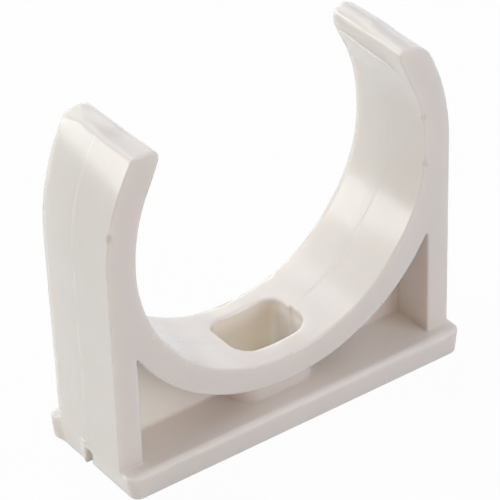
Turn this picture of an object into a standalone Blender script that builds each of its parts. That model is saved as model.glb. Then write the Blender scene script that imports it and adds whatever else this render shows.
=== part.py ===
"""Snap-in saddle clip for a 50 mm plastic pipe, moulded in one piece.

The pipe lies along Y and snaps down between two sprung arms into a round
cradle. Two upright legs stand on a base plate and run straight up into the
arms. A thin web in the middle plane fills the space between cradle, legs and
base, and leaves an open pocket on either face. Under the cradle a hollow boss
takes one screw: its head drops through the cradle floor into the boss, and
its shank passes the base plate through a slot.

Frame: X along the base plate, Y along the pipe, Z up. The origin is the
middle of the underside. Both mould halves leave the middle plane Y = 0, so
every face that runs along Y has draft away from it.
"""

import math

import bmesh
import bpy

MM = 0.001

# Cradle and arms
PIPE_DIAMETER = 50.0 * MM
CRADLE_WALL = 4.35 * MM
BODY_WIDTH = 15.7 * MM
ARM_OUTER_RADIUS = 34.5 * MM
LEAD_IN_ANGLE = math.radians(25.5)
LEAD_IN_LENGTH = 4.8 * MM
NOSE_FACET = 1.35 * MM
NOSE_ROUND = 1.4 * MM
TIP_CORNER_ROUND = 1.4 * MM

# Legs, web and base plate
LEG_THICKNESS = 3.8 * MM
LEG_STAND_OUT = 0.1 * MM
WEB_THICKNESS = 2.3 * MM
GAP_UNDER_CRADLE = 2.95 * MM
BASE_THICKNESS = 4.1 * MM
BASE_END_LIP = 0.5 * MM
BASE_END_TAPER = 0.5 * MM
BASE_SIDE_LIP = 2.4 * MM
BASE_CORNER_RADIUS = 1.4 * MM
BASE_TOP_ROUND = 1.2 * MM
BASE_BOTTOM_ROUND = 0.5 * MM
BASE_END_ROUND = 0.45 * MM

# Screw boss and its holes
HEAD_SLOT_LENGTH = 12.5 * MM
HEAD_SLOT_WIDTH = 9.5 * MM
HEAD_SLOT_CORNER = 3.0 * MM
HEAD_SLOT_SHIFT = 0.4 * MM
BOSS_END_WALL = 1.0 * MM
BOSS_SIDE_WALL = 1.7 * MM
BOSS_CORNER = 4.0 * MM
SEAT_THICKNESS = 3.0 * MM
SHANK_SLOT_LENGTH = 8.4 * MM
SHANK_SLOT_WIDTH = 5.0 * MM

# Mark left at the end of the base where the moulding was broken off its runner
NOTCH_WIDTH = 1.1 * MM
NOTCH_HEIGHT = 2.8 * MM
NOTCH_DEPTH = 0.9 * MM
NOTCH_SHIFT = 0.5 * MM

# Moulding details
DRAFT_ANGLE = math.radians(0.8)
FACE_EDGE_ROUND = 0.35 * MM

# Fineness of the arcs
CRADLE_STEP = math.radians(4.0)
ROUND_STEPS = 6
EDGE_STEPS = 2

# How far a cutter reaches past what it cuts
OVERRUN = 2.0 * MM

# Places that follow from the sizes
PIPE_RADIUS = PIPE_DIAMETER / 2
CRADLE_OUTER_RADIUS = PIPE_RADIUS + CRADLE_WALL
CENTRE_HEIGHT = BASE_THICKNESS + GAP_UNDER_CRADLE + CRADLE_OUTER_RADIUS
LEG_OUTER_X = CRADLE_OUTER_RADIUS + LEG_STAND_OUT
LEG_INNER_X = LEG_OUTER_X - LEG_THICKNESS
BASE_HALF_LENGTH = LEG_OUTER_X + BASE_END_LIP
BASE_HALF_WIDTH = BODY_WIDTH / 2 + BASE_SIDE_LIP
FOOT_HEIGHT = BASE_THICKNESS - BASE_TOP_ROUND
POCKET_FLOOR = (FOOT_HEIGHT + BASE_THICKNESS) / 2


def arc(centre, radius, start, end, steps):
    """Points on an arc, both ends included, from the start angle to the end angle."""
    points = []
    for i in range(steps + 1):
        angle = start + (end - start) * i / steps
        x = centre[0] + radius * math.cos(angle)
        z = centre[1] + radius * math.sin(angle)
        points.append((x, z))
    return points


def arc_steps(start, end):
    """Number of steps that keeps a large arc as smooth as the cradle."""
    return max(1, round(abs(end - start) / CRADLE_STEP))


def mirrored(points):
    """The same run of points on the other side of the middle, in reverse."""
    return [(-x, z) for x, z in reversed(points)]


def body_outline(inset):
    """Front view of legs, arms and cradle as one closed outline, moved in by inset."""
    radius = PIPE_RADIUS + inset
    sine, cosine = math.sin(LEAD_IN_ANGLE), math.cos(LEAD_IN_ANGLE)

    nose_x = PIPE_RADIUS * cosine - LEAD_IN_LENGTH * sine
    nose_foot = CENTRE_HEIGHT + PIPE_RADIUS * sine + LEAD_IN_LENGTH * cosine
    tip_height = nose_foot + NOSE_FACET + NOSE_ROUND
    nose_centre = (nose_x + NOSE_ROUND, tip_height - NOSE_ROUND)

    arm_centre = (LEG_OUTER_X - ARM_OUTER_RADIUS, CENTRE_HEIGHT)
    corner_height = tip_height - TIP_CORNER_ROUND
    corner_reach = math.sqrt(
        (ARM_OUTER_RADIUS - TIP_CORNER_ROUND) ** 2 - (corner_height - arm_centre[1]) ** 2)
    corner_centre = (arm_centre[0] + corner_reach, corner_height)
    arm_end = math.atan2(corner_height - arm_centre[1], corner_reach)

    facet_x = nose_x + inset
    lead_in = (radius * cosine - facet_x) / sine
    facet_foot = (facet_x, CENTRE_HEIGHT + radius * sine + lead_in * cosine)

    right = [(LEG_OUTER_X - inset, FOOT_HEIGHT)]
    right += arc(arm_centre, ARM_OUTER_RADIUS - inset, 0.0, arm_end, arc_steps(0.0, arm_end))
    right += arc(corner_centre, TIP_CORNER_ROUND - inset, arm_end, math.pi / 2, ROUND_STEPS)[1:]
    right += arc(nose_centre, NOSE_ROUND - inset, math.pi / 2, math.pi, ROUND_STEPS)
    right.append(facet_foot)

    cradle_start, cradle_end = LEAD_IN_ANGLE, -math.pi - LEAD_IN_ANGLE
    cradle = arc((0.0, CENTRE_HEIGHT), radius, cradle_start, cradle_end,
                 arc_steps(cradle_start, cradle_end))
    return right + cradle + mirrored(right)


def pocket_outline(inset):
    """Front view of the open space between the legs, under the cradle."""
    side = LEG_INNER_X - inset
    radius = CRADLE_OUTER_RADIUS + inset
    reach = math.asin(side / radius)
    start, end = -math.pi / 2 + reach, -math.pi / 2 - reach
    top = arc((0.0, CENTRE_HEIGHT), radius, start, end, arc_steps(start, end))
    return [(-side, POCKET_FLOOR), (side, POCKET_FLOOR)] + top


def rounded_rectangle(half_length, half_width, corner, shift=0.0):
    """Plan outline with round corners, as a function of how far it is moved in."""
    def outline(inset):
        radius = max(corner - inset, 0.1 * MM)
        x = half_length - inset - radius
        y = half_width - inset - radius
        points = []
        for quarter, (sx, sy) in enumerate(((1, 1), (-1, 1), (-1, -1), (1, -1))):
            start = quarter * math.pi / 2
            centre = (shift + sx * x, sy * y)
            points += arc(centre, radius, start, start + math.pi / 2, ROUND_STEPS)
        return points
    return outline


def edge_round(radius, steps):
    """Distance from the face and inset of each section through a rounded edge."""
    sections = []
    for i in range(steps + 1):
        angle = math.pi / 2 * i / steps
        sections.append((radius * (1 - math.sin(angle)), radius * (1 - math.cos(angle))))
    return sections


def loft(name, outline, stations, place, collection):
    """Solid through like sections: one for each (distance, inset) in stations.

    place turns an outline point and a distance into a point in space.
    """
    mesh = bpy.data.meshes.new(name)
    bm = bmesh.new()
    rings = []
    for distance, inset in stations:
        rings.append([bm.verts.new(place(u, v, distance)) for u, v in outline(inset)])
    count = len(rings[0])
    for near, far in zip(rings, rings[1:]):
        for i in range(count):
            j = (i + 1) % count
            bm.faces.new((near[i], near[j], far[j], far[i]))
    bm.faces.new(list(reversed(rings[0])))
    bm.faces.new(rings[-1])
    bmesh.ops.remove_doubles(bm, verts=bm.verts, dist=0.001 * MM)
    bmesh.ops.recalc_face_normals(bm, faces=bm.faces)
    bm.to_mesh(mesh)
    bm.free()
    obj = bpy.data.objects.new(name, mesh)
    collection.objects.link(obj)
    return obj


def along_y(u, v, distance):
    """Outline in the front view, sections one behind another."""
    return (u, distance, v)


def along_z(u, v, distance):
    """Outline in the plan, sections one above another."""
    return (u, v, distance)


def as_cutter(obj):
    """Keep a tool shape out of the picture."""
    obj.hide_render = True
    obj.display_type = 'WIRE'
    return obj


def combine(obj, tool, operation):
    """Join a tool shape to the clip, or cut it out of it."""
    boolean = obj.modifiers.new(tool.name, 'BOOLEAN')
    boolean.operation = operation
    boolean.solver = 'EXACT'
    boolean.object = as_cutter(tool)


def body_blank(collection):
    """Legs, arms and cradle, drafted both ways from the middle plane."""
    half = BODY_WIDTH / 2
    draft = math.tan(DRAFT_ANGLE)
    side = []
    for depth, inset in edge_round(FACE_EDGE_ROUND, EDGE_STEPS):
        side.append((half - depth, (half - depth) * draft + inset))
    back = sorted(side)
    front = [(-distance, inset) for distance, inset in reversed(back)]
    return loft('pipe_clip', body_outline, front + [(0.0, 0.0)] + back, along_y, collection)


def pocket(name, side, collection):
    """Space on one face of the web, wider at its mouth than at the web."""
    start, end = WEB_THICKNESS / 2, BODY_WIDTH / 2 + OVERRUN
    draft = math.tan(DRAFT_ANGLE)
    stations = [(side * start, (end - start) * draft), (side * end, 0.0)]
    return loft(name, pocket_outline, stations, along_y, collection)


def setback(radius, depth):
    """How far an edge rounded to radius stands back from its face at a depth below the side."""
    reach = max(radius - depth, 0.0)
    return radius - math.sqrt(radius ** 2 - reach ** 2)


def base_outline(depth):
    """Front view of the base plate where it is cut at a depth below its long side."""
    side = setback(BASE_CORNER_RADIUS, depth)
    low = setback(BASE_BOTTOM_ROUND, depth)
    high = BASE_THICKNESS - setback(BASE_TOP_ROUND, depth)
    top_x = BASE_HALF_LENGTH - side
    foot_x = top_x - BASE_END_TAPER
    corner = BASE_END_ROUND
    right = arc((foot_x - corner, low + corner), corner, -math.pi / 2, 0.0, ROUND_STEPS)
    right += arc((top_x - corner, high - corner), corner, 0.0, math.pi / 2, ROUND_STEPS)
    return right + mirrored(right)


def base_plate(collection):
    """Plate with ends that taper to the foot, and long sides with rounded edges."""
    depths = [drop for drop, inset in edge_round(BASE_CORNER_RADIUS, ROUND_STEPS)]
    back = sorted((BASE_HALF_WIDTH - depth, depth) for depth in depths)
    front = [(-distance, depth) for distance, depth in reversed(back)]
    return loft('base_plate', base_outline, front + back, along_y, collection)


def screw_boss(collection):
    """Block round the screw, from inside the base plate to inside the cradle wall."""
    outline = rounded_rectangle(HEAD_SLOT_LENGTH / 2 + BOSS_END_WALL,
                                HEAD_SLOT_WIDTH / 2 + BOSS_SIDE_WALL, BOSS_CORNER)
    top = BASE_THICKNESS + GAP_UNDER_CRADLE + CRADLE_WALL / 2
    return loft('screw_boss', outline, [(FOOT_HEIGHT, 0.0), (top, 0.0)], along_z, collection)


def head_slot(collection):
    """Hole for the screw's head, through the cradle floor down to its seat."""
    outline = rounded_rectangle(HEAD_SLOT_LENGTH / 2, HEAD_SLOT_WIDTH / 2,
                                HEAD_SLOT_CORNER, HEAD_SLOT_SHIFT)
    stations = [(SEAT_THICKNESS, 0.0), (CENTRE_HEIGHT, 0.0)]
    return loft('head_slot', outline, stations, along_z, collection)


def shank_slot(collection):
    """Slot for the screw's shank, through the base plate."""
    outline = rounded_rectangle(SHANK_SLOT_LENGTH / 2, SHANK_SLOT_WIDTH / 2,
                                SHANK_SLOT_WIDTH / 2 - 0.1 * MM, HEAD_SLOT_SHIFT)
    stations = [(-OVERRUN, 0.0), (SEAT_THICKNESS + OVERRUN, 0.0)]
    return loft('shank_slot', outline, stations, along_z, collection)


def runner_notch(collection):
    """Small notch at the foot of one end, beside the parting line."""
    mesh = bpy.data.meshes.new('runner_notch')
    bm = bmesh.new()
    bmesh.ops.create_cube(bm, size=1.0)
    length = BASE_END_TAPER + NOTCH_DEPTH + OVERRUN
    height = NOTCH_HEIGHT + OVERRUN
    bmesh.ops.scale(bm, vec=(length, NOTCH_WIDTH, height), verts=bm.verts)
    edge = BASE_END_TAPER - BASE_HALF_LENGTH + NOTCH_DEPTH
    centre = (edge - length / 2, NOTCH_SHIFT, NOTCH_HEIGHT - height / 2)
    bmesh.ops.translate(bm, vec=centre, verts=bm.verts)
    bm.to_mesh(mesh)
    bm.free()
    obj = bpy.data.objects.new('runner_notch', mesh)
    collection.objects.link(obj)
    return obj


def white_plastic():
    """Slightly warm white rigid plastic with a soft sheen."""
    material = bpy.data.materials.new('white_plastic')
    material.use_nodes = True
    shader = material.node_tree.nodes['Principled BSDF']
    shader.inputs['Base Color'].default_value = (0.80, 0.77, 0.74, 1.0)
    shader.inputs['Roughness'].default_value = 0.42
    shader.inputs['Metallic'].default_value = 0.0
    return material


def new_collection(name):
    """A collection of its own in the scene."""
    collection = bpy.data.collections.new(name)
    bpy.context.scene.collection.children.link(collection)
    return collection


def build():
    """Make the clip: blank, pockets, base, boss and holes, in the order they combine."""
    for old in list(bpy.data.objects):
        bpy.data.objects.remove(old, do_unlink=True)
    parts = new_collection('pipe_clip_parts')
    cutters = new_collection('pipe_clip_cutters')

    clip = body_blank(parts)
    combine(clip, pocket('front_pocket', -1, cutters), 'DIFFERENCE')
    combine(clip, pocket('back_pocket', 1, cutters), 'DIFFERENCE')
    combine(clip, base_plate(cutters), 'UNION')
    combine(clip, screw_boss(cutters), 'UNION')
    combine(clip, head_slot(cutters), 'DIFFERENCE')
    combine(clip, shank_slot(cutters), 'DIFFERENCE')
    combine(clip, runner_notch(cutters), 'DIFFERENCE')

    clip.data.materials.append(white_plastic())
    clip.data.shade_smooth()
    clip.data.set_sharp_from_angle(angle=math.radians(30.0))


build()
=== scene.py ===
"""Looks of the snap-in pipe clip: one white moulding on a pale floor under soft lamps.

The clip is a single piece. Its shape follows rules, so a Geometry Nodes tree
makes it: a node group tells how far any point is from the moulding's surface,
a volume is filled from that, and the volume's skin is the mesh. A second tree
lays the thin flash on it. Sizes inside the trees are in millimetres, and the
main ones are named inputs of the trees.

Frame: X along the base plate, Y along the pipe, Z up, origin under the middle.
Left is towards -X and back is towards +Y, as the camera sees them.
"""

import math

import bpy
from mathutils import Matrix, Vector


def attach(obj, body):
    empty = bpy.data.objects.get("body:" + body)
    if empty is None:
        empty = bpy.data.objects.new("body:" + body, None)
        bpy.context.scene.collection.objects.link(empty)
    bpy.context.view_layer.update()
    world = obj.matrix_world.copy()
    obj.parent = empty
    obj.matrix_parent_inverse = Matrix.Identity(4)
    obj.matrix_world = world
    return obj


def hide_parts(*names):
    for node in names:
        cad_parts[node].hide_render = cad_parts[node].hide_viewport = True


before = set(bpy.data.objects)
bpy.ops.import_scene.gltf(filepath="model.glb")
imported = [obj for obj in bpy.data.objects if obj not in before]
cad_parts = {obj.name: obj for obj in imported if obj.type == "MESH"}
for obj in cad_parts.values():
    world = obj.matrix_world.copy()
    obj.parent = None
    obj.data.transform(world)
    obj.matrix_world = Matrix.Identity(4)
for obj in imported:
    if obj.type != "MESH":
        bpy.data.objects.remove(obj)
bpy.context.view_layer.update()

MM = 0.001

# Sizes of the moulding in millimetres, which become inputs of its tree
CLIP_SIZES = {
    "Pipe radius": 24.82,
    "Cradle wall": 4.6,
    "Body width": 16.1,
    "Centre height": 36.4,
    "Leg outer": 29.66,
    "Leg inner": 25.55,
    "Arm radius": 34.5,
    "Lead-in angle": math.radians(25.5),
    "Nose reach": 20.42,
    "Nose slope": 0.25,
    "Tip height": 54.15,
    "Nose round": 1.65,
    "Web": 2.3,
    "Base thickness": 4.1,
    "Base width": 20.96,
    "Base end": 29.75,
    "Base corner": 1.4,
    "Draft": math.tan(math.radians(0.8)),
    "Edge round": 0.18,
    "Inner fillet": 0.15,
    "Boss half length": 7.25,
    "Boss half width": 6.45,
    "Boss corner": 4.0,
    "Slot half length": 6.25,
    "Slot half width": 4.75,
    "Slot corner": 3.0,
    "Screw seat": 3.0,
    "Shank half length": 4.2,
    "Shank half width": 2.5,
}
# Half widths of the thin flash in millimetres, and the shares of them that lie under the skin
FLASH_SIZES = {
    "Seam line": 0.07,
    "Nose line": 0.24,
    "Sunk share": 0.6,
    "Sunk share at nose": 0.1,
}

# The real clip isn't quite even. Each run below is a pair of places between which a value
# changes from 0 to 1. Where four numbers stand, the last two are the values at the places.
# All are in millimetres, or in radians round the cradle from its lowest line.

# Runs that tell the left side and the back half from the others
LEFT_SIDE = (1.0, -1.0)
BACK_HALF = (0.2, 0.5)
SOFT_BACK_HALF = (-0.2, 0.7)
SLOW_BACK_HALF = (-1.6, 2.4)
WIDTH_RUN = (-8.0, 8.0)

# Cradle: step between the mould halves, crease across it, flare at the noses, sunk patch
HALVES_OUT_OF_LINE = (24.0, 38.0, 0.06, 0.0)
CREASE_START, CREASE_END = 0.52, 1.36
CREASE_PEAK_FRONT, CREASE_PEAK_BACK = 0.895, 0.93
CREASE_HEIGHT = (-8.0, 8.0, 0.28, 0.2)
FLARE_START = (1.6, 2.0)
NOSE_FLARE = 0.22
RIGHT_NOSE_FLARE = (-2.0, 8.0, 0.0, 0.12)
SINK_PLACE, SINK_RUN, SINK_DEPTH = -0.42, (0.38, 0.1), 0.14
HOLLOW_EDGE_ROUND = 0.12

# Noses: start of their flats below the tip, their length, and their turn per square millimetre
NOSE_DROP, NOSE_LENGTH = 1.6, 3.4
LEFT_NOSE_SETBACK = 0.08
RIGHT_NOSE_REACH = (-7.0, -2.0, 0.0, 0.2)
NOSE_TURN_FRONT, NOSE_TURN_BACK = 0.0042, 0.001
STEEPEST_NOSE = 0.4
RIGHT_NOSE_ROUNDER, LEFT_NOSE_ROUNDER = 1.2, 0.25

# Legs and arms: lean of the left one up its height, and how the right one differs
LEAN_FRONT = (46.0, 54.0, 0.12, -0.12)
LEAN_BACK = (8.0, 40.0, -0.16, 0.05)
RIGHT_LEG_SETBACK, RIGHT_ARM_TIGHTER = 0.1, 0.5

# Tips: their heights, and the rounding of their outer edges
RIGHT_TIP_STEP, RIGHT_TIP_HEIGHT = 0.1, (0.0, 7.0, -0.07, 0.15)
RIGHT_TIP_ROUND_FRONT, RIGHT_TIP_ROUND_BACK = 2.3, 1.8
LEFT_TIP_RUN, LEFT_TIP_HEIGHT = (-2.0, 8.0), (20.6, 24.0, 0.05, 0.62)
LEFT_TIP_ROUND = 0.5
LEFT_KNOB_PLACE, LEFT_KNOB_RUN, LEFT_KNOB_ROUND = 2.4, (2.2, 0.6), 0.25
LEFT_END_RUN, LEFT_END_ROUND = (3.5, 8.0), 1.3

# Small nicks along the front edges: x, z and radius of each, at one y, and how flat they are
NICKS = ((-29.0, 43.3, 0.5), (24.7, 41.7, 0.36), (24.95, 33.7, 0.38), (0.4, 11.5, 0.3))
NICK_Y, NICK_FLATTER, NICK_EDGE_ROUND = -8.1, 0.55, 0.05

# Pockets: how far their floor is let into the base, and their corners
POCKET_SUNK, POCKET_CORNER = 0.3, 0.3
RIGHT_POCKET_POINT, LEFT_POCKET_POINT = 0.45, 0.25

# Base plate: setback, slope and waist of its ends, lift of its top, rounding of its edges
RIGHT_END_SETBACK, RIGHT_END_TAPER = 0.05, 0.13
LEFT_END_SETBACK, LEFT_END_TAPER_FRONT, LEFT_END_TAPER_BACK = 0.9, 0.2, 0.09
LEFT_CORNER_RUN, LEFT_CORNER_OUT = (7.0, 9.6), 0.45
LEFT_STUB_PLACE, LEFT_STUB_RUN, LEFT_STUB_OUT = 1.1, (1.6, 0.2), 0.3
LEFT_BACK_OUT = 0.25
RIGHT_BACK_LIFT, LEFT_BACK_LIFT = -0.05, 0.4
BESIDE_LEG = (7.6, 8.6)
TOP_ROUND_RUN, TOP_ROUND, END_ROUND, LEFT_BACK_END_ROUND = (27.0, 29.2), 1.15, 0.4, 0.9
LEAST_TOP_ROUND, BOTTOM_ROUND = 0.02, 0.45
SUNK_IN_BASE = 0.6

# Screw boss and holes: fillet, shift of the holes, step in the slot, and its corners
BOSS_FILLET = 0.5
HOLE_SHIFT_X, HOLE_SHIFT_Y = 0.45, 0.3
STEP_RUN, STEP_DEPTH = (2.0, 5.0), 0.3
SEAT_CORNER, HEAD_EDGE_ROUND, SHANK_EDGE_ROUND = 0.5, 0.4, 0.25
SHANK_OVERRUN = 1.0

# Notch of the runner: y at a height, lean, half width, middle and half height, inner end
NOTCH_Y, NOTCH_Z, NOTCH_LEAN, NOTCH_HALF_WIDTH = 0.62, 1.4, 0.22, 0.55
NOTCH_MIDDLE, NOTCH_HALF_HEIGHT, NOTCH_END = 1.1, 2.1, -27.7
NOTCH_EDGE_ROUND = 0.12

# Unevenness of the skin, which fades out towards the flat underside
UNEVEN_SCALE = 0.13
UNEVEN_HEIGHT = (0.5, 3.0, 0.0, 0.1)

# Grid of the volume in millimetres, cells over which its density fades, and its corners
GRID_SPACING = 0.22
FADE_CELLS = 6
VOLUME_LOW = Vector((-31.2, -11.4, -1.2)) * MM
VOLUME_HIGH = Vector((31.2, 11.4, 56.4)) * MM
# How far the skin may be thinned where it is flat
FLAT_THINNING = 0.005
# How points are moved onto the surface: rounds, and limits of the slope and of one move
SKIN_ROUNDS, FLASH_ROUNDS = 3, 4
SLOPE_STEP, LEAST_STEEPNESS, LONGEST_MOVE = 0.03, 0.25, 0.25

# Flash: points along each line and round it, and the courses of the lines
FLASH_POINTS, FLASH_SIDES = 150, 8
SEAM_PLANE = 0.35
# Waves of the seam on a leg and in the cradle, as turn per millimetre or radian, and reach
LEG_SEAM_WAVES, CRADLE_SEAM_WAVE = ((0.31, 0.05), (1.13, 0.03)), (21.0, 0.04)
LEG_SEAM_RUN, LEG_SEAM_SUNK = (5.2, 53.2), 0.1
CRADLE_SEAM_RUN, CRADLE_SEAM_RADIUS = (math.radians(18.0), math.radians(68.0)), 24.7
NOSE_LINE_RUN = (-5.0, 7.0)
# Shares of a line over which it swells and tapers, and its width at the ends
FLASH_START, FLASH_END, FLASH_END_WIDTH = (0.0, 0.12), (1.0, 0.9), 0.25

# Colour of the plastic, and shades of it as a factor for each channel
PLASTIC_TONE = (0.82, 0.77, 0.735)
# Painted highlight: the flash is made paler than the plastic by this factor, for the light its thin
# lines catch
FLASH_PAINTED_HIGHLIGHT = 1.2
CLOUD_DARK, CLOUD_PALE = (0.978, 0.985, 0.975), (1.018, 1.004, 1.012)
FLECK_SHADE, FLECK_STRENGTH = (0.93, 0.92, 0.90), 0.15
FLOW_SHADE, FLOW_STRENGTH = (0.955, 0.945, 0.94), 0.5
# Painted highlight: the seam on the left leg is made paler by this factor
SEAM_PAINTED_HIGHLIGHT = (1.07, 1.07, 1.07)
# Painted light: the thin left web is made paler by this factor, for light that gets through it
WEB_PAINTED_LIGHT = (1.18, 1.18, 1.17)
# Painted light: the slot's walls, and more so its right end wall, are made paler by these factors
SLOT_PAINTED_LIGHT, SLOT_END_PAINTED_LIGHT = (1.08, 1.08, 1.05), (1.18, 1.19, 1.18)

# Patterns in the plastic: scale of each noise per millimetre, and the run of it that shows
CLOUD_SCALE, CLOUD_RUN = 0.15, (0.2, 0.8)
FLECK_SCALE, FLECK_RUN = 1.4, (0.62, 0.78)
BLOTCH_SCALE, SEAM_BLOTCH_RUN = 0.26, (0.35, 0.6)
FLOW_SCALE, FLOW_RUN = 0.9, (0.42, 0.62)
FLOW_ALONG, FLOW_ACROSS, FLOW_BESIDE_SEAM = 0.22, 1.6, (2.6, 0.3)
SWAY_SCALE, GRAIN_SCALE = 0.11, 3.2
# Roughness from the blotches, its change in the flow marks, and heights of the skin's waves
ROUGHNESS, FLOW_ROUGHNESS = (0.3, 0.7, 0.16, 0.23), 0.12
SWAY_HEIGHT, FLOW_HEIGHT, GRAIN_HEIGHT = 0.025, 0.003, 0.0012

# Runs that bound the places painted paler as painted light: the thin left web, the slot and the seam on
# the left leg
WEB_FROM_AXIS, WEB_OUT, WEB_DEEP = (29.0, 29.6), (25.9, 25.3), (1.9, 1.4)
WEB_LEFT, WEB_TOP = (3.0, -3.0), (37.0, 35.5)
SLOT_WALL, SLOT_TOP, SLOT_END = (0.6, 0.2), (11.8, 10.2), (5.2, 6.0)
LEFT_SEAM_WIDTH, LEFT_SEAM_SIDE = (0.24, 0.06), (-24.0, -26.0)

# Light that sinks into the plastic: its share, and its reach by channel and in millimetres
SUNK_LIGHT, SUNK_LIGHT_REACH, SUNK_LIGHT_SCALE = 0.7, (1.0, 0.85, 0.7), 2.0
PLASTIC_IOR = 1.49

# Floor: half its side in metres, its finish, and how much of its white the camera sees
FLOOR_REACH = 2.5
FLOOR_TONE, FLOOR_ROUGHNESS = (0.85, 0.85, 0.85, 1.0), 0.9
FLOOR_SEEN_SHARE = 0.96

# Soft lamps: name, azimuth and elevation in degrees, width and height in metres, power, colour
LAMPS = (
    ("top_box", 0.0, 88.0, 0.45, 0.45, 0.515, (0.875, 0.878, 1.0)),
    ("back_left_box", -134.0, 12.5, 0.3, 0.165, 0.70, (1.0, 1.0, 1.0)),
    ("left_box", -110.0, 14.0, 0.3, 0.2, 0.445, (0.819, 1.0, 0.993)),
    ("back_left_high", -150.0, 40.0, 0.3, 0.3, 0.415, (0.91, 0.993, 1.0)),
    ("back_low", 160.0, 20.0, 0.3, 0.3, 0.481, (0.981, 1.0, 0.952)),
    ("back_mid", 180.0, 35.0, 0.3, 0.3, 0.293, (0.908, 1.0, 0.953)),
    ("back_high", 180.0, 60.0, 0.3, 0.3, 0.277, (0.914, 0.865, 1.0)),
    ("back_right_low", 135.0, 8.0, 0.3, 0.15, 0.068, (1.0, 0.885, 0.805)),
    ("right_box", 110.0, 50.0, 0.3, 0.3, 0.127, (0.524, 0.659, 1.0)),
    ("right_high", 60.0, 60.0, 0.3, 0.3, 0.31, (0.771, 0.916, 1.0)),
    ("front_right_box", 30.0, 20.0, 0.3, 0.3, 0.633, (0.876, 0.94, 1.0)),
    ("front_low", 10.0, 12.0, 0.3, 0.15, 0.317, (0.857, 0.828, 1.0)),
    ("front_high", -20.0, 45.0, 0.3, 0.3, 0.261, (1.0, 0.93, 0.537)),
    ("front_left_box", -45.0, 32.0, 0.3, 0.3, 0.143, (1.0, 0.40, 0.12)),
)
# Point that the lamps face, and how far off they are, in metres
LAMP_AIM = Vector((0.0, 0.0, 0.028))
LAMP_DISTANCE = 0.5

# Camera: direction from its target in degrees, roll, and places in radii of the nominal pipe
NOMINAL_RADIUS = 25
CAMERA_AZIMUTH, CAMERA_ELEVATION, CAMERA_ROLL = -35.0747, 34.0104, -1.8892
CAMERA_TARGET = Vector((-0.106930, -0.122460, 1.119500)) * NOMINAL_RADIUS * MM
CAMERA_DISTANCE = 16.09188 * NOMINAL_RADIUS * MM
# Focal length in pixels of a picture 500 wide, and the width of the sensor in millimetres
FOCAL_PIXELS, PICTURE_WIDTH, SENSOR_WIDTH = 2854.267, 500, 36.0
# Nearest and farthest that the camera sees, in metres
NEAREST_SEEN, FARTHEST_SEEN = 0.05, 5.0


class Field:
    """A number in a node tree. Sums and comparisons on it add the nodes they need."""

    def __init__(self, tree, socket):
        self.tree = tree
        self.socket = socket

    def math(self, operation, *values):
        """The number put through an operation, with other values where it takes them."""
        return number_node(self.tree, operation, self, *values)

    def __add__(self, other):
        return self.math("ADD", other)

    def __sub__(self, other):
        return self.math("SUBTRACT", other)

    def __mul__(self, other):
        return self.math("MULTIPLY", other)

    def __truediv__(self, other):
        return self.math("DIVIDE", other)

    def __radd__(self, other):
        return number_node(self.tree, "ADD", other, self)

    def __rsub__(self, other):
        return number_node(self.tree, "SUBTRACT", other, self)

    def __rmul__(self, other):
        return number_node(self.tree, "MULTIPLY", other, self)

    def __neg__(self):
        return self.math("MULTIPLY", -1.0)

    def __abs__(self):
        return self.math("ABSOLUTE")


def feed(tree, socket, value):
    """Link a field into a socket, or set a plain value on it."""
    if isinstance(value, Field):
        tree.links.new(value.socket, socket)
    else:
        socket.default_value = value


def number_node(tree, operation, *values):
    """A Math node fed by fields or plain numbers."""
    node = tree.nodes.new("ShaderNodeMath")
    node.operation = operation
    for socket, value in zip(node.inputs, values):
        feed(tree, socket, value)
    return Field(tree, node.outputs[0])


def vector_node(tree, operation, *values):
    """A Vector Math node fed by fields or plain vectors."""
    node = tree.nodes.new("ShaderNodeVectorMath")
    node.operation = operation
    slots = [s for s in node.inputs if s.enabled]
    for socket, value in zip(slots, values):
        feed(tree, socket, value)
    output = "Value" if operation in ("LENGTH", "DOT_PRODUCT") else "Vector"
    return Field(tree, node.outputs[output])


def scaled(tree, vector, factor):
    """A vector times a number."""
    node = tree.nodes.new("ShaderNodeVectorMath")
    node.operation = "SCALE"
    feed(tree, node.inputs[0], vector)
    feed(tree, node.inputs["Scale"], factor)
    return Field(tree, node.outputs["Vector"])


def split(tree, vector):
    """The three numbers of a vector."""
    node = tree.nodes.new("ShaderNodeSeparateXYZ")
    feed(tree, node.inputs[0], vector)
    return [Field(tree, socket) for socket in node.outputs]


def joined(tree, *values):
    """A vector made of its numbers."""
    node = tree.nodes.new("ShaderNodeCombineXYZ")
    for socket, value in zip(node.inputs, values):
        feed(tree, socket, value)
    return Field(tree, node.outputs[0])


def higher(a, b):
    """The larger of two numbers."""
    return a.math("MAXIMUM", b)


def lower(a, b):
    """The smaller of two numbers."""
    return a.math("MINIMUM", b)


def across(a, b):
    """Length of the sloping side over two square sides."""
    return vector_node(a.tree, "LENGTH", joined(a.tree, a, b))


def ramp(value, start, end, low=0.0, high=1.0, smooth=True):
    """Runs from low at start to high at end, and stays there outside."""
    node = value.tree.nodes.new("ShaderNodeMapRange")
    node.interpolation_type = "SMOOTHSTEP" if smooth else "LINEAR"
    for name, part in (("Value", value), ("From Min", start), ("From Max", end),
                       ("To Min", low), ("To Max", high)):
        feed(value.tree, node.inputs[name], part)
    return Field(value.tree, node.outputs["Result"])


def blend(share, a, b):
    """a where share is 0, b where it is 1."""
    return share * (b - a) + a


def noise(tree, place, scale, detail=2.0, roughness=0.5, distortion=0.0):
    """Noise texture read at a place, around 0.5."""
    node = tree.nodes.new("ShaderNodeTexNoise")
    feed(tree, node.inputs["Vector"], place)
    node.inputs["Scale"].default_value = scale
    node.inputs["Detail"].default_value = detail
    node.inputs["Roughness"].default_value = roughness
    node.inputs["Distortion"].default_value = distortion
    return Field(tree, node.outputs[0])


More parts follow.
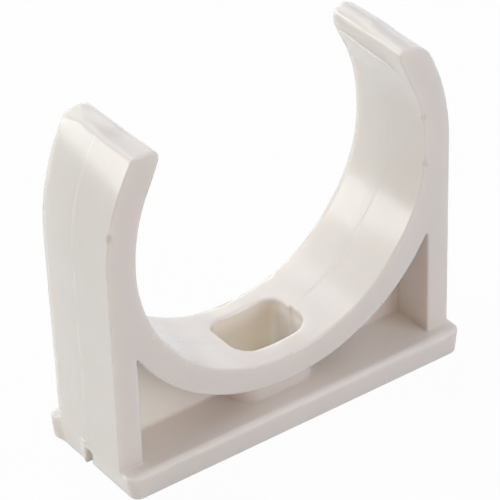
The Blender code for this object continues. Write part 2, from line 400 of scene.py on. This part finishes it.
def both(a, b, radius):
    """Where both shapes are, with their common edge rounded."""
    return lower(higher(a, b), -radius) + across(higher(a + radius, 0.0), higher(b + radius, 0.0))


def either(a, b, radius):
    """One shape or the other, with a fillet in the corner between them."""
    return higher(lower(a, b), radius) - across(higher(radius - a, 0.0), higher(radius - b, 0.0))


def without(a, b, radius):
    """The first shape with the second cut out, and the new edge rounded."""
    return both(a, -b, radius)


def rounded_plan(x, y, half_length, half_width, corner):
    """Distance in plan from a rectangle with round corners."""
    over_x = abs(x) - half_length + corner
    over_y = abs(y) - half_width + corner
    outside = across(higher(over_x, 0.0), higher(over_y, 0.0))
    return outside + lower(higher(over_x, over_y), 0.0) - corner


class Spot:
    """A place in or near the clip, and what the clip's shape depends on there."""

    def __init__(self, tree, size, place):
        x, self.y, self.z = split(tree, place)
        self.left = ramp(x, *LEFT_SIDE)
        self.right = 1.0 - self.left
        self.back = ramp(self.y, *BACK_HALF)
        self.slow_back = ramp(self.y, *SLOW_BACK_HALF)
        self.deep = abs(self.y)
        self.draft = size["Draft"] * self.deep

        # The two halves of the mould were a little out of line in the right of the cradle
        self.x = x - self.back * self.right * ramp(self.z, *HALVES_OUT_OF_LINE)
        self.out = abs(self.x)
        self.rise = self.z - size["Centre height"]
        self.ray = across(self.out, self.rise)


def nose_facet(size, y, left):
    """Reach and slope of the flat on a nose, which change along the pipe."""
    reach = size["Nose reach"] - left * LEFT_NOSE_SETBACK + ramp(y, *RIGHT_NOSE_REACH) * (1.0 - left)
    ahead, behind = lower(y, 0.0), higher(y, 0.0)
    slope = size["Nose slope"] + ahead * ahead * NOSE_TURN_FRONT + behind * behind * NOSE_TURN_BACK
    return reach, lower(slope, STEEPEST_NOSE)


def nose_flare(y, left):
    """How much wider than the pipe the cradle is at the noses."""
    return NOSE_FLARE + (1.0 - left) * ramp(y, *RIGHT_NOSE_FLARE)


def nose_edge(size, y, left):
    """Lower edge of a nose, where its flat meets the lead-in: reach from the middle and height."""
    reach, slope = nose_facet(size, y, left)
    cosine = size["Lead-in angle"].math("COSINE")
    lead_slope = size["Lead-in angle"].math("TANGENT")
    radius = size["Pipe radius"] + nose_flare(y, left) + size["Draft"] * abs(y)
    start = size["Tip height"] - NOSE_DROP
    over = radius / cosine + size["Centre height"] * lead_slope - reach - start * slope
    height = higher(over / (lead_slope - slope), start - NOSE_LENGTH)
    return reach + (start - height) * slope, height


def mouth_shape(size, at):
    """Opening between the noses, bounded by their flats."""
    reach, slope = nose_facet(size, at.y, at.left)
    drop = lower(size["Tip height"] - NOSE_DROP - at.z, NOSE_LENGTH)
    return higher(at.out - reach - drop * slope, -at.rise)


def hollow_shape(tree, size, at):
    """Round hollow for the pipe, slightly flared, that runs on as a straight lead-in to the nose."""
    angle = number_node(tree, "ARCTAN2", at.x, -at.rise)
    peak = blend(at.back, CREASE_PEAK_FRONT, CREASE_PEAK_BACK)
    crease = ramp(angle, CREASE_START, peak, smooth=False) * ramp(angle, CREASE_END, peak, smooth=False)
    swell = crease * ramp(at.y, *CREASE_HEIGHT, smooth=False)
    flare = ramp(abs(angle), *FLARE_START) * nose_flare(at.y, at.left)
    sink = ramp(abs(angle - SINK_PLACE), *SINK_RUN) * SINK_DEPTH
    radius = size["Pipe radius"] + flare + sink - swell + at.draft
    sine = size["Lead-in angle"].math("SINE")
    cosine = size["Lead-in angle"].math("COSINE")
    past = at.rise * cosine - at.out * sine
    straight = at.out * cosine + at.rise * sine
    return blend(past.math("GREATER_THAN", 0.0), at.ray, straight) - radius


def outer_shape(size, at):
    """Outside of the legs, which run straight up and curve in as arms."""
    lean_front = ramp(at.z, *LEAN_FRONT)
    lean_back = ramp(at.z, *LEAN_BACK, smooth=False)
    lean = at.left * ramp(at.y, *WIDTH_RUN, lean_front, lean_back, smooth=False)
    lean = lean - at.right * RIGHT_LEG_SETBACK
    curve = size["Arm radius"] - at.right * RIGHT_ARM_TIGHTER
    leg = at.out - size["Leg outer"] - lean
    arm = across(at.out + curve - size["Leg outer"], at.rise) - curve - lean
    return blend(at.rise.math("GREATER_THAN", 0.0), leg, arm) + at.draft


def tip_shape(size, at):
    """Tops of the arms, and the radius of their outer edges."""
    right_height = ramp(at.y, *SOFT_BACK_HALF) * RIGHT_TIP_STEP + ramp(at.y, *RIGHT_TIP_HEIGHT)
    left_height = ramp(at.y, *LEFT_TIP_RUN, smooth=False) * ramp(at.out, *LEFT_TIP_HEIGHT)
    top = at.z - size["Tip height"] - blend(at.left, right_height, left_height) + at.draft
    right_round = blend(at.slow_back, RIGHT_TIP_ROUND_FRONT, RIGHT_TIP_ROUND_BACK)
    knob = ramp(abs(at.y - LEFT_KNOB_PLACE), *LEFT_KNOB_RUN) * LEFT_KNOB_ROUND
    left_round = LEFT_TIP_ROUND + knob + ramp(at.y, *LEFT_END_RUN) * LEFT_END_ROUND
    return top, blend(at.left, right_round, left_round)


def body_shape(tree, size, at):
    """Legs, arms and cradle, with nicks along the front edges."""
    top, tip_round = tip_shape(size, at)
    nose_round = blend(at.left, at.slow_back * RIGHT_NOSE_ROUNDER, LEFT_NOSE_ROUNDER)
    profile = both(outer_shape(size, at), top, tip_round)
    profile = without(profile, mouth_shape(size, at), size["Nose round"] + nose_round)
    profile = without(profile, hollow_shape(tree, size, at), HOLLOW_EDGE_ROUND)
    profile = higher(profile, size["Base thickness"] * SUNK_IN_BASE - at.z)
    body = both(profile, at.deep - size["Body width"] * 0.5, size["Edge round"])
    for x, z, radius in NICKS:
        dent = across(across(at.x - x, at.y - NICK_Y), (at.z - z) * NICK_FLATTER)
        body = without(body, dent - radius, NICK_EDGE_ROUND)
    return body


def pocket_shape(size, at):
    """Open space on both faces of the web, under the cradle and between the legs."""
    ring = size["Pipe radius"] + size["Cradle wall"] - at.ray
    floor = size["Base thickness"] - at.z - POCKET_SUNK
    pocket = both(at.out - size["Leg inner"], floor, POCKET_CORNER)
    pocket = both(pocket, ring, blend(at.left, RIGHT_POCKET_POINT, LEFT_POCKET_POINT))
    pocket = higher(pocket, at.rise)
    return both(pocket - at.draft, size["Web"] * 0.5 - at.deep, size["Inner fillet"])


def base_ends(size, at):
    """Ends of the base plate, tapered to the foot."""
    right_end = size["Base end"] - RIGHT_END_SETBACK + at.z * RIGHT_END_TAPER
    stub = ramp(abs(at.y - LEFT_STUB_PLACE), *LEFT_STUB_RUN) * LEFT_STUB_OUT
    waist = ramp(at.deep, *LEFT_CORNER_RUN) * LEFT_CORNER_OUT + stub
    left_taper = blend(at.back, LEFT_END_TAPER_FRONT, LEFT_END_TAPER_BACK)
    left_end = size["Base end"] - LEFT_END_SETBACK + at.back * (waist + LEFT_BACK_OUT)
    left_end = left_end + at.z * left_taper
    return at.out - blend(at.left, right_end, left_end)


def plate_shape(size, at, ends):
    """Base plate, its top edge sharp under the left leg."""
    plate = both(ends, at.deep - size["Base width"] * 0.5, size["Base corner"])
    lift = at.back * blend(at.left, RIGHT_BACK_LIFT, LEFT_BACK_LIFT)
    clear_of_leg = higher(ramp(at.deep, *BESIDE_LEG), at.right)
    end_round = blend(at.back * at.left, END_ROUND, LEFT_BACK_END_ROUND)
    top_round = ramp(at.out, *TOP_ROUND_RUN, TOP_ROUND, end_round) * clear_of_leg + LEAST_TOP_ROUND
    plate = both(plate, at.z - size["Base thickness"] - lift, top_round)
    return both(plate, -at.z, BOTTOM_ROUND)


def boss_shape(size, at):
    """Boss round the screw, from the base plate up to the cradle."""
    boss = rounded_plan(at.x, at.y, size["Boss half length"], size["Boss half width"],
                        size["Boss corner"])
    boss = higher(boss, at.rise + size["Pipe radius"] + size["Cradle wall"] * 0.5)
    return higher(boss, size["Base thickness"] * SUNK_IN_BASE - at.z)


def screw_holes(size, at):
    """Slots for the screw's head and for its shank."""
    x, y = at.x - HOLE_SHIFT_X, at.y - HOLE_SHIFT_Y
    step_in = at.back * ramp(x, *STEP_RUN) * STEP_DEPTH
    head = rounded_plan(x, y, size["Slot half length"], size["Slot half width"], size["Slot corner"])
    head = both(higher(head + step_in, at.rise), size["Screw seat"] - at.z, SEAT_CORNER)
    shank = rounded_plan(x, at.y, size["Shank half length"], size["Shank half width"],
                         size["Shank half width"])
    return head, higher(shank, at.z - size["Screw seat"] - SHANK_OVERRUN)


def notch_shape(at):
    """Notch where the runner was broken off, at the foot of the left end."""
    slant = at.y - NOTCH_Y + (at.z - NOTCH_Z) * NOTCH_LEAN
    slit = higher(abs(slant) - NOTCH_HALF_WIDTH, abs(at.z - NOTCH_MIDDLE) - NOTCH_HALF_HEIGHT)
    return higher(slit, at.x - NOTCH_END)


def add_inputs(tree, sizes):
    """Adds each size to a tree as a named input."""
    for name, value in sizes.items():
        socket = tree.interface.new_socket(name, in_out="INPUT", socket_type="NodeSocketFloat")
        socket.default_value = value


def sizes_in(tree, source):
    """The moulding's sizes as fields, from the inputs of a tree."""
    return {name: Field(tree, source.outputs[name]) for name in CLIP_SIZES}


def distance_group():
    """Node group: signed distance from the moulding's surface, in millimetres, inside negative."""
    tree = bpy.data.node_groups.new("clip_distance", "GeometryNodeTree")
    tree.interface.new_socket("Place", in_out="INPUT", socket_type="NodeSocketVector")
    add_inputs(tree, CLIP_SIZES)
    tree.interface.new_socket("Distance", in_out="OUTPUT", socket_type="NodeSocketFloat")
    source = tree.nodes.new("NodeGroupInput")
    size = sizes_in(tree, source)
    place = Field(tree, source.outputs["Place"])
    at = Spot(tree, size, place)

    ends = base_ends(size, at)
    body = without(body_shape(tree, size, at), pocket_shape(size, at), size["Edge round"])
    body = higher(body, ends)
    solid = either(body, boss_shape(size, at), BOSS_FILLET)
    solid = either(solid, plate_shape(size, at, ends), size["Inner fillet"])
    head, shank = screw_holes(size, at)
    solid = without(without(solid, head, HEAD_EDGE_ROUND), shank, SHANK_EDGE_ROUND)
    solid = without(solid, notch_shape(at), NOTCH_EDGE_ROUND)

    # Plastic draws in unevenly as it cools, but the underside is flat
    uneven = noise(tree, place, UNEVEN_SCALE, detail=1.0) - 0.5
    solid = solid + uneven * ramp(at.z, *UNEVEN_HEIGHT)

    result = tree.nodes.new("NodeGroupOutput")
    feed(tree, result.inputs["Distance"], solid)
    return tree


def distance_at(tree, group, place, source):
    """The distance group in a tree, read at a place in millimetres."""
    node = tree.nodes.new("GeometryNodeGroup")
    node.node_tree = group
    feed(tree, node.inputs["Place"], place)
    for name in CLIP_SIZES:
        tree.links.new(source.outputs[name], node.inputs[name])
    return Field(tree, node.outputs["Distance"])


def slope_at(tree, group, place, source):
    """Direction in which the distance grows, from four readings close by."""
    total = None
    for corner in ((1, -1, -1), (-1, -1, 1), (-1, 1, -1), (1, 1, 1)):
        near = vector_node(tree, "ADD", place, [SLOPE_STEP * c for c in corner])
        reading = distance_at(tree, group, near, source)
        part = scaled(tree, [c / (4 * SLOPE_STEP) for c in corner], reading)
        total = part if total is None else vector_node(tree, "ADD", total, part)
    return total


def passed(tree, kind, geometry, socket="Geometry"):
    """A new node of a kind that takes a geometry in."""
    node = tree.nodes.new(kind)
    tree.links.new(geometry, node.inputs[socket])
    return node


def place_of_points(tree):
    """Places of a geometry's points, in millimetres."""
    position = tree.nodes.new("GeometryNodeInputPosition")
    return scaled(tree, Field(tree, position.outputs[0]), 1 / MM)


def settle(tree, group, geometry, source, depth=0.0):
    """Moves every point along the slope onto the moulding's surface, or to a depth below it."""
    place = place_of_points(tree)
    slope = slope_at(tree, group, place, source)
    steep = higher(vector_node(tree, "DOT_PRODUCT", slope, slope), LEAST_STEEPNESS)
    travel = (distance_at(tree, group, place, source) + depth) / steep
    travel = higher(lower(travel, LONGEST_MOVE), -LONGEST_MOVE)
    move = passed(tree, "GeometryNodeSetPosition", geometry)
    feed(tree, move.inputs["Offset"], scaled(tree, slope, travel * -MM))
    return move.outputs["Geometry"]


def piece_tree(name, sizes):
    """Tree that will make a piece, and the node that holds its sizes and its plastic."""
    tree = bpy.data.node_groups.new(name, "GeometryNodeTree")
    add_inputs(tree, sizes)
    tree.interface.new_socket("Plastic", in_out="INPUT", socket_type="NodeSocketMaterial")
    tree.interface.new_socket("Geometry", in_out="OUTPUT", socket_type="NodeSocketGeometry")
    return tree, tree.nodes.new("NodeGroupInput")


def finish(tree, geometry, source):
    """Ends a piece's tree: shaded smooth, instances made real, and painted with its plastic."""
    smooth = passed(tree, "GeometryNodeSetShadeSmooth", geometry)
    realize = passed(tree, "GeometryNodeRealizeInstances", smooth.outputs["Geometry"])
    paint = passed(tree, "GeometryNodeSetMaterial", realize.outputs["Geometry"])
    tree.links.new(source.outputs["Plastic"], paint.inputs["Material"])
    passed(tree, "NodeGroupOutput", paint.outputs["Geometry"])


def moulding_tree(group):
    """Tree that fills a volume from the distance group and takes its skin as the clip."""
    tree, source = piece_tree("clip_moulding", CLIP_SIZES)
    distance = distance_at(tree, group, place_of_points(tree), source)
    inside = 0.5 - distance / (FADE_CELLS * GRID_SPACING)
    volume = tree.nodes.new("GeometryNodeVolumeCube")
    feed(tree, volume.inputs["Density"], higher(lower(inside, 1.0), 0.0))
    volume.inputs["Min"].default_value = VOLUME_LOW
    volume.inputs["Max"].default_value = VOLUME_HIGH
    for axis, start, end in zip("XYZ", VOLUME_LOW, VOLUME_HIGH):
        count = round((end - start) / (GRID_SPACING * MM)) + 1
        volume.inputs["Resolution " + axis].default_value = count
    skin = passed(tree, "GeometryNodeVolumeToMesh", volume.outputs["Volume"], "Volume")
    skin.inputs["Threshold"].default_value = 0.5
    skin.inputs["Adaptivity"].default_value = FLAT_THINNING
    geometry = skin.outputs["Mesh"]
    for _ in range(SKIN_ROUNDS):
        geometry = settle(tree, group, geometry, source)
    finish(tree, geometry, source)
    return tree


def seam_y(height):
    """Where the seam on a leg lies at a height, a little to either side of its plane."""
    wide, narrow = (number_node(height.tree, "SINE", height * turn) * reach
                    for turn, reach in LEG_SEAM_WAVES)
    return wide + narrow + SEAM_PLANE


def flash_courses(tree, size, share):
    """Courses of the flash lines: x, y and z in millimetres from the share run."""
    height = ramp(share, 0.0, 1.0, *LEG_SEAM_RUN, smooth=False)
    bend = higher(height - size["Centre height"], 0.0)
    arm_radius = size["Arm radius"]
    arm_out = (arm_radius * arm_radius - bend * bend).math("SQRT") - arm_radius + size["Leg outer"]
    swing = ramp(share, 0.0, 1.0, *CRADLE_SEAM_RUN, smooth=False)
    turn, stray = CRADLE_SEAM_WAVE
    ring_x = number_node(tree, "SINE", swing) * CRADLE_SEAM_RADIUS
    ring_z = size["Centre height"] - number_node(tree, "COSINE", swing) * CRADLE_SEAM_RADIUS
    ring_y = number_node(tree, "SINE", swing * turn) * stray + SEAM_PLANE
    along = ramp(share, 0.0, 1.0, *NOSE_LINE_RUN, smooth=False)
    right_nose_x, right_nose_z = nose_edge(size, along, 0.0)
    left_nose_x, left_nose_z = nose_edge(size, along, 1.0)
    return {
        "right_leg": (arm_out - LEG_SEAM_SUNK, seam_y(height), height),
        "right_cradle": (ring_x, ring_y, ring_z),
        "left_cradle": (-ring_x, ring_y, ring_z),
        "right_nose": (right_nose_x, along, right_nose_z),
        "left_nose": (-left_nose_x, along, left_nose_z),
    }


def store(tree, geometry, name, value):
    """Stores a number on the points of a geometry."""
    keep = passed(tree, "GeometryNodeStoreNamedAttribute", geometry)
    keep.inputs["Name"].default_value = name
    feed(tree, keep.inputs["Value"], value)
    return keep.outputs["Geometry"]


def stored(tree, name):
    """Number stored on the points of a flash line, in millimetres."""
    node = tree.nodes.new("GeometryNodeInputNamedAttribute")
    node.inputs["Name"].default_value = name
    return Field(tree, node.outputs["Attribute"])


def flash_tree(group):
    """Tree that lays thin flash where the mould's halves met, and along both noses."""
    tree, source = piece_tree("mould_flash", dict(CLIP_SIZES, **FLASH_SIZES))
    size = sizes_in(tree, source)
    index = Field(tree, tree.nodes.new("GeometryNodeInputIndex").outputs[0])
    share = index / (FLASH_POINTS - 1.0)
    taper = ramp(share, *FLASH_START) * ramp(share, *FLASH_END)
    slimness = taper * (1.0 - FLASH_END_WIDTH) + FLASH_END_WIDTH
    lines = tree.nodes.new("GeometryNodeJoinGeometry")
    for name, course in flash_courses(tree, size, share).items():
        at_nose = name.endswith("nose")
        width = Field(tree, source.outputs["Nose line" if at_nose else "Seam line"])
        sunk = Field(tree, source.outputs["Sunk share at nose" if at_nose else "Sunk share"])
        row = tree.nodes.new("GeometryNodeMeshLine")
        row.inputs["Count"].default_value = FLASH_POINTS
        put = passed(tree, "GeometryNodeSetPosition", row.outputs["Mesh"])
        feed(tree, put.inputs["Position"], scaled(tree, joined(tree, *course), MM))
        line = store(tree, put.outputs["Geometry"], "bead", width * slimness)
        line = store(tree, line, "depth", width * sunk)
        tree.links.new(line, lines.inputs["Geometry"])
    geometry = lines.outputs["Geometry"]
    for _ in range(FLASH_ROUNDS):
        geometry = settle(tree, group, geometry, source)
    geometry = settle(tree, group, geometry, source, stored(tree, "depth"))

    curve = passed(tree, "GeometryNodeMeshToCurve", geometry, "Mesh")
    ring = tree.nodes.new("GeometryNodeCurvePrimitiveCircle")
    ring.inputs["Resolution"].default_value = FLASH_SIDES
    ring.inputs["Radius"].default_value = 1.0
    sweep = passed(tree, "GeometryNodeCurveToMesh", curve.outputs["Curve"], "Curve")
    sweep.inputs["Fill Caps"].default_value = True
    tree.links.new(ring.outputs["Curve"], sweep.inputs["Profile Curve"])
    feed(tree, sweep.inputs["Scale"], stored(tree, "bead") * MM)
    finish(tree, sweep.outputs["Mesh"], source)
    return tree


def made_by(tree, name, settings):
    """Runs a tree on an empty mesh and returns the result as a plain mesh object."""
    host = bpy.data.objects.new(name, bpy.data.meshes.new(name))
    bpy.context.scene.collection.objects.link(host)
    modifier = host.modifiers.new(tree.name, "NODES")
    modifier.node_group = tree
    for item in tree.interface.items_tree:
        if item.item_type == "SOCKET" and item.in_out == "INPUT" and item.name in settings:
            modifier[item.identifier] = settings[item.name]
    graph = bpy.context.evaluated_depsgraph_get()
    mesh = bpy.data.meshes.new_from_object(host.evaluated_get(graph))
    host.modifiers.remove(modifier)
    host.data = mesh
    mesh.name = name
    return host


def shade_of(tone, factors):
    """Colour that a tone gives with each of its channels times a factor."""
    return [channel * factor for channel, factor in zip(tone, factors)] + [1.0]


def tinted(tree, share, first, second):
    """Colour between two, by a share from 0 to 1."""
    node = tree.nodes.new("ShaderNodeMix")
    node.data_type = "RGBA"
    feed(tree, node.inputs[0], share)
    # Sockets 6 and 7 are the two colours, and output 2 is the mixed one
    for socket, colour in ((node.inputs[6], first), (node.inputs[7], second)):
        feed(tree, socket, colour)
    return Field(tree, node.outputs[2])


def cloudy_colour(tree, place, tone):
    """Clouds in the colour, a few millimetres wide, with fainter small flecks."""
    cloud = noise(tree, place, CLOUD_SCALE, detail=3.0, roughness=0.55)
    fleck = noise(tree, place, FLECK_SCALE, roughness=0.6)
    colour = tinted(tree, ramp(cloud, *CLOUD_RUN, smooth=False),
                    shade_of(tone, CLOUD_DARK), shade_of(tone, CLOUD_PALE))
    return tinted(tree, ramp(fleck, *FLECK_RUN) * FLECK_STRENGTH, colour, shade_of(tone, FLECK_SHADE))


def web_painted_light_mask(x, y, z):
    """Where the thin web in the left half of the clip is painted paler, as painted light."""
    mask = ramp(across(x, z - CLIP_SIZES["Centre height"]), *WEB_FROM_AXIS)
    for value, run in ((abs(x), WEB_OUT), (abs(y), WEB_DEEP), (x, WEB_LEFT), (z, WEB_TOP)):
        mask = mask * ramp(value, *run)
    return mask


def slot_painted_light_mask(x, y, z):
    """Where the walls of the screw's slot are painted paler, as painted light."""
    half_length, half_width = CLIP_SIZES["Slot half length"], CLIP_SIZES["Slot half width"]
    from_wall = rounded_plan(x - HOLE_SHIFT_X, y - HOLE_SHIFT_Y, half_length, half_width,
                             CLIP_SIZES["Slot corner"])
    return ramp(from_wall, *SLOT_WALL) * ramp(z, *SLOT_TOP)


def left_seam_highlight_mask(x, y, z):
    """Where the seam down the left leg is painted paler, as a painted highlight."""
    return ramp(abs(y - seam_y(z)), *LEFT_SEAM_WIDTH) * ramp(x, *LEFT_SEAM_SIDE)


def white_plastic(name, tone, sunk_light):
    """Moulded off-white plastic: cloudy colour, uneven gloss, flow marks and a fine mould grain, with
    painted light on the thin left web, the slot walls and the left leg's seam.
    """
    material = bpy.data.materials.new(name)
    material.use_nodes = True
    tree = material.node_tree
    shader = tree.nodes["Principled BSDF"]
    metres = Field(tree, tree.nodes.new("ShaderNodeTexCoord").outputs["Object"])
    place = scaled(tree, metres, 1 / MM)
    x, y, z = split(tree, place)
    blotch = noise(tree, place, BLOTCH_SCALE, detail=3.0)

    # Flow marks run along the legs and round the cradle, strongest beside the seam
    near_seam = ramp(abs(y - SEAM_PLANE), *FLOW_BESIDE_SEAM)
    stretched = joined(tree, x * FLOW_ALONG, y * FLOW_ACROSS, z * FLOW_ALONG)
    streak = noise(tree, stretched, FLOW_SCALE, detail=3.0, roughness=0.55, distortion=0.25)
    flow = ramp(streak, *FLOW_RUN) * near_seam * FLOW_STRENGTH

    # Painted light: the thin left web and the walls round the screw slot are painted paler, standing in
    # for light that gets through them
    # Painted highlight: the seam on the left leg is painted paler, in broken patches
    seam = left_seam_highlight_mask(x, y, z) * ramp(blotch, *SEAM_BLOTCH_RUN)
    slot = slot_painted_light_mask(x, y, z)
    painted_light_slot_end = slot * ramp(x, *SLOT_END)
    colour = cloudy_colour(tree, place, tone)
    for share, shade in ((flow, FLOW_SHADE), (seam, SEAM_PAINTED_HIGHLIGHT), (web_painted_light_mask(x, y, z), WEB_PAINTED_LIGHT),
                         (slot, SLOT_PAINTED_LIGHT), (painted_light_slot_end, SLOT_END_PAINTED_LIGHT)):
        colour = tinted(tree, share, colour, shade_of(tone, shade))
    feed(tree, shader.inputs["Base Color"], colour)
    gloss = ramp(blotch, *ROUGHNESS) + (streak - 0.5) * near_seam * FLOW_ROUGHNESS
    feed(tree, shader.inputs["Roughness"], gloss)

    # Shallow waves from cooling, the flow marks and the grain of the mould
    sway = noise(tree, place, SWAY_SCALE, detail=0.0) * SWAY_HEIGHT
    grain = noise(tree, place, GRAIN_SCALE, detail=1.0) * GRAIN_HEIGHT
    bump = tree.nodes.new("ShaderNodeBump")
    bump.inputs["Strength"].default_value = 1.0
    bump.inputs["Distance"].default_value = MM
    feed(tree, bump.inputs["Height"], sway + streak * near_seam * FLOW_HEIGHT + grain)
    tree.links.new(bump.outputs["Normal"], shader.inputs["Normal"])

    # Light sinks a little way into the plastic, red furthest
    shader.inputs["Subsurface Weight"].default_value = sunk_light
    shader.inputs["Subsurface Radius"].default_value = SUNK_LIGHT_REACH
    shader.inputs["Subsurface Scale"].default_value = SUNK_LIGHT_SCALE * MM
    shader.inputs["IOR"].default_value = PLASTIC_IOR
    return material


def direction(azimuth, elevation):
    """Unit vector from the clip, with azimuth 0 towards the front, in degrees."""
    turn, lift = math.radians(azimuth), math.radians(elevation)
    return Vector((math.sin(turn) * math.cos(lift), -math.cos(turn) * math.cos(lift), math.sin(lift)))


def viewpoint():
    """Camera that looks at its target from its direction, turned about its own axis by its roll."""
    back = direction(CAMERA_AZIMUTH, CAMERA_ELEVATION)
    right = Vector((0, 0, 1)).cross(back).normalized()
    up = back.cross(right)
    lean = math.radians(CAMERA_ROLL)
    across_view = right * math.cos(lean) + up * math.sin(lean)
    up_view = up * math.cos(lean) - right * math.sin(lean)
    data = bpy.data.cameras.new("photo_camera")
    data.lens = FOCAL_PIXELS / PICTURE_WIDTH * SENSOR_WIDTH
    data.sensor_width = SENSOR_WIDTH
    data.clip_start, data.clip_end = NEAREST_SEEN, FARTHEST_SEEN
    camera = bpy.data.objects.new("photo_camera", data)
    axes = Matrix((across_view, up_view, back)).transposed().to_4x4()
    camera.matrix_world = Matrix.Translation(CAMERA_TARGET + back * CAMERA_DISTANCE) @ axes
    bpy.context.scene.collection.objects.link(camera)
    bpy.context.scene.camera = camera


def soft_lamp(name, azimuth, elevation, width, height, power, colour):
    """Soft box that faces the clip from a direction."""
    towards = direction(azimuth, elevation)
    data = bpy.data.lights.new(name, "AREA")
    data.shape = "RECTANGLE"
    data.size = width
    data.size_y = height
    data.energy = power
    data.color = colour
    lamp = bpy.data.objects.new(name, data)
    lamp.location = LAMP_AIM + towards * LAMP_DISTANCE
    lamp.rotation_euler = towards.to_track_quat("Z", "Y").to_euler()
    bpy.context.scene.collection.objects.link(lamp)


def white_where_seen(tree, shader, output_socket, seen_share):
    """Mixes plain white into a shader for the camera and for reflections."""
    path = tree.nodes.new("ShaderNodeLightPath")
    seen = Field(tree, path.outputs["Is Camera Ray"])
    for ray in ("Is Glossy Ray", "Is Transmission Ray"):
        seen = higher(seen, Field(tree, path.outputs[ray]))
    kind = "ShaderNodeBackground" if shader.type == "BACKGROUND" else "ShaderNodeEmission"
    white = tree.nodes.new(kind)
    white.inputs["Strength"].default_value = 1.0
    white.inputs["Color"].default_value = (1.0, 1.0, 1.0, 1.0)
    mix = tree.nodes.new("ShaderNodeMixShader")
    feed(tree, mix.inputs[0], seen * seen_share)
    tree.links.new(shader.outputs[0], mix.inputs[1])
    tree.links.new(white.outputs[0], mix.inputs[2])
    tree.links.new(mix.outputs[0], output_socket)


def pale_floor():
    """Wide pale floor that shows as white and still takes the clip's shadow."""
    material = bpy.data.materials.new("pale_floor")
    material.use_nodes = True
    tree = material.node_tree
    shader = tree.nodes["Principled BSDF"]
    shader.inputs["Base Color"].default_value = FLOOR_TONE
    shader.inputs["Roughness"].default_value = FLOOR_ROUGHNESS
    shader.inputs["Specular IOR Level"].default_value = 0.0
    surface = tree.nodes["Material Output"].inputs["Surface"]
    white_where_seen(tree, shader, surface, FLOOR_SEEN_SHARE)
    corners = [(x * FLOOR_REACH, y * FLOOR_REACH, 0) for x, y in ((-1, -1), (1, -1), (1, 1), (-1, 1))]
    mesh = bpy.data.meshes.new("floor")
    mesh.from_pydata(corners, [], [(0, 1, 2, 3)])
    mesh.materials.append(material)
    floor = bpy.data.objects.new("floor", mesh)
    bpy.context.scene.collection.objects.link(floor)


def studio_air():
    """World that gives no light and is white to the camera."""
    world = bpy.data.worlds.new("studio_air")
    world.use_nodes = True
    bpy.context.scene.world = world
    tree = world.node_tree
    air = tree.nodes["Background"]
    air.inputs["Strength"].default_value = 0.0
    white_where_seen(tree, air, tree.nodes["World Output"].inputs["Surface"], 1.0)


plastic = white_plastic("white_plastic", PLASTIC_TONE, SUNK_LIGHT)
# The flash's plastic is painted paler, a painted highlight
flash_plastic_painted_highlight = white_plastic("flash_plastic_painted_highlight", [c * FLASH_PAINTED_HIGHLIGHT for c in PLASTIC_TONE], 0.0)
distance_nodes = distance_group()

clip_settings = dict(CLIP_SIZES, Plastic=plastic)
clip = made_by(moulding_tree(distance_nodes), "moulded_clip", clip_settings)
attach(clip, "root")
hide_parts("pipe_clip")

flash_settings = dict(CLIP_SIZES, **FLASH_SIZES, Plastic=flash_plastic_painted_highlight)
flash = made_by(flash_tree(distance_nodes), "parting_flash", flash_settings)
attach(flash, "root")

pale_floor()
studio_air()
for lamp in LAMPS:
    soft_lamp(*lamp)
viewpoint()
bpy.context.scene.view_settings.view_transform = "Standard"
